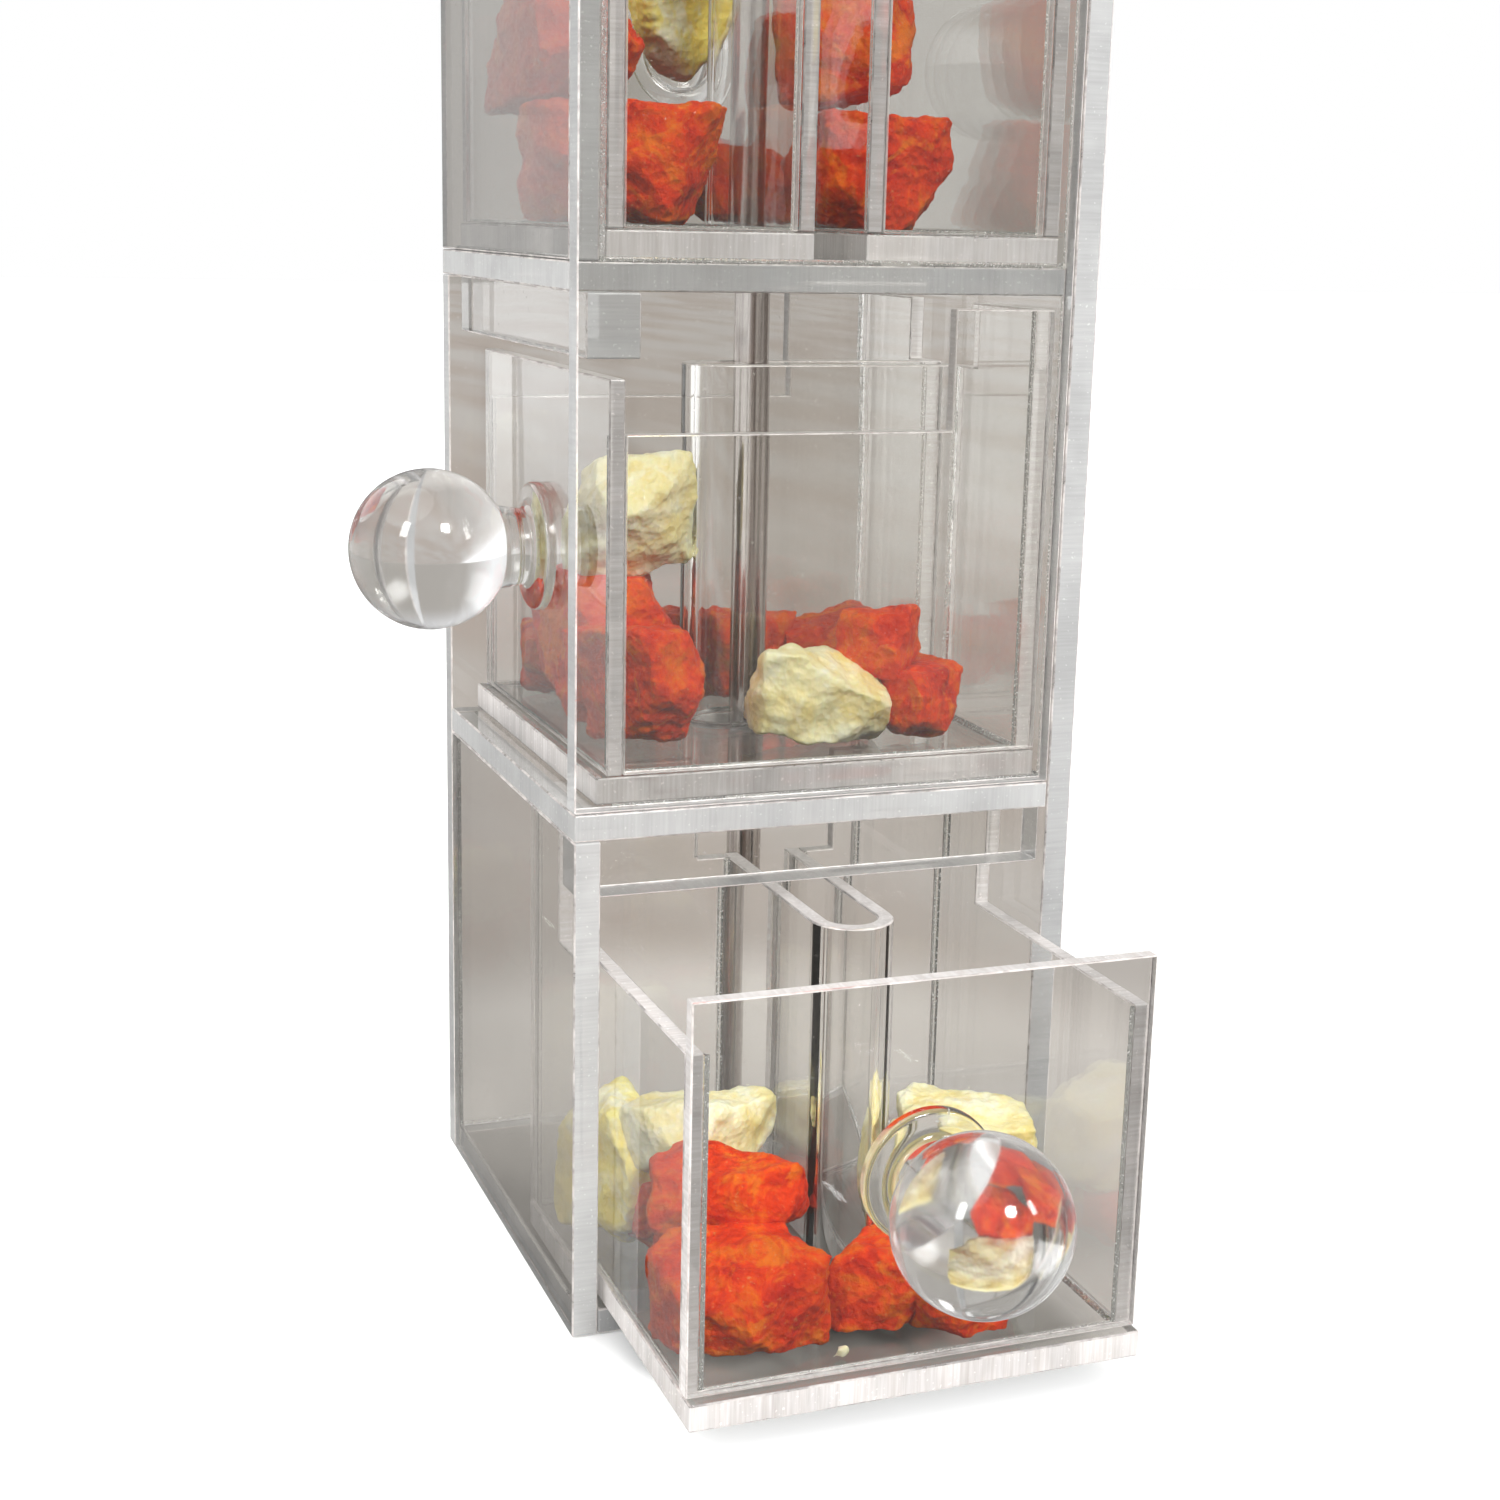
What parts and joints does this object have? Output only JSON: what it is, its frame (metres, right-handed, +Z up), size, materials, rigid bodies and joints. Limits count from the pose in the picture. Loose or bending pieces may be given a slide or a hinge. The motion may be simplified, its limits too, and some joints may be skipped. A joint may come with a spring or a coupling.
{
  "type": "candy bulk dispenser",
  "caption": "Square tower of stacked clear acrylic tiers on a central steel rod, each tier with a ball-knobbed sweet drawer opening on a different side.",
  "frame": {"origin": "centre of the tower's square underside", "axes": "+Z up the tower along the rod; the bottom tier's drawer opens towards -Y, the next towards -X, then +Y, and the top one towards +X"},
  "size_m": [0.1602, 0.2142, 0.4068],
  "materials": {
    "casing_acrylic": "clear cast acrylic sheet, polished faces, sawn and cemented edges",
    "drawer_acrylic": "clear cast acrylic sheet, polished faces",
    "knob_acrylic": "clear solid acrylic, polished",
    "steel": "drawn bright steel"
  },
  "bodies": {
    "casing": {"floor_plate": "casing_acrylic", "divider_1": "casing_acrylic", "divider_2": "casing_acrylic", "divider_3": "casing_acrylic", "lid": "casing_acrylic", "front_wall": "casing_acrylic", "right_wall": "casing_acrylic", "back_wall_lower": "casing_acrylic", "back_wall_upper": "casing_acrylic", "left_wall_lower": "casing_acrylic", "left_wall_upper": "casing_acrylic", "header_1": "casing_acrylic", "header_2": "casing_acrylic", "header_3": "casing_acrylic", "header_4": "casing_acrylic", "tie_rod": "steel", "washer": "steel", "cap_nut": "steel"},
    "drawer_1": {"drawer_1_base": "drawer_acrylic", "drawer_1_front": "drawer_acrylic", "drawer_1_left_side": "drawer_acrylic", "drawer_1_right_side": "drawer_acrylic", "drawer_1_rear_left": "drawer_acrylic", "drawer_1_rear_right": "drawer_acrylic", "drawer_1_channel": "drawer_acrylic", "drawer_1_knob": "knob_acrylic"},
    "drawer_2": {"drawer_2_base": "drawer_acrylic", "drawer_2_front": "drawer_acrylic", "drawer_2_left_side": "drawer_acrylic", "drawer_2_right_side": "drawer_acrylic", "drawer_2_rear_left": "drawer_acrylic", "drawer_2_rear_right": "drawer_acrylic", "drawer_2_channel": "drawer_acrylic", "drawer_2_knob": "knob_acrylic"},
    "drawer_3": {"drawer_3_base": "drawer_acrylic", "drawer_3_front": "drawer_acrylic", "drawer_3_left_side": "drawer_acrylic", "drawer_3_right_side": "drawer_acrylic", "drawer_3_rear_left": "drawer_acrylic", "drawer_3_rear_right": "drawer_acrylic", "drawer_3_channel": "drawer_acrylic", "drawer_3_knob": "knob_acrylic"},
    "drawer_4": {"drawer_4_base": "drawer_acrylic", "drawer_4_front": "drawer_acrylic", "drawer_4_left_side": "drawer_acrylic", "drawer_4_right_side": "drawer_acrylic", "drawer_4_rear_left": "drawer_acrylic", "drawer_4_rear_right": "drawer_acrylic", "drawer_4_channel": "drawer_acrylic", "drawer_4_knob": "knob_acrylic"}
  },
  "joints": [
    {"name": "drawer_1_slide", "type": "slide", "parent": "casing", "child": "drawer_1", "axis": [0, -1, 0], "range_m": [-0.054, 0.006]},
    {"name": "drawer_2_slide", "type": "slide", "parent": "casing", "child": "drawer_2", "axis": [-1, 0, 0], "range_m": [0, 0.06]},
    {"name": "drawer_3_slide", "type": "slide", "parent": "casing", "child": "drawer_3", "axis": [0, 1, 0], "range_m": [0, 0.06]},
    {"name": "drawer_4_slide", "type": "slide", "parent": "casing", "child": "drawer_4", "axis": [1, 0, 0], "range_m": [0, 0.06]}
  ]
}
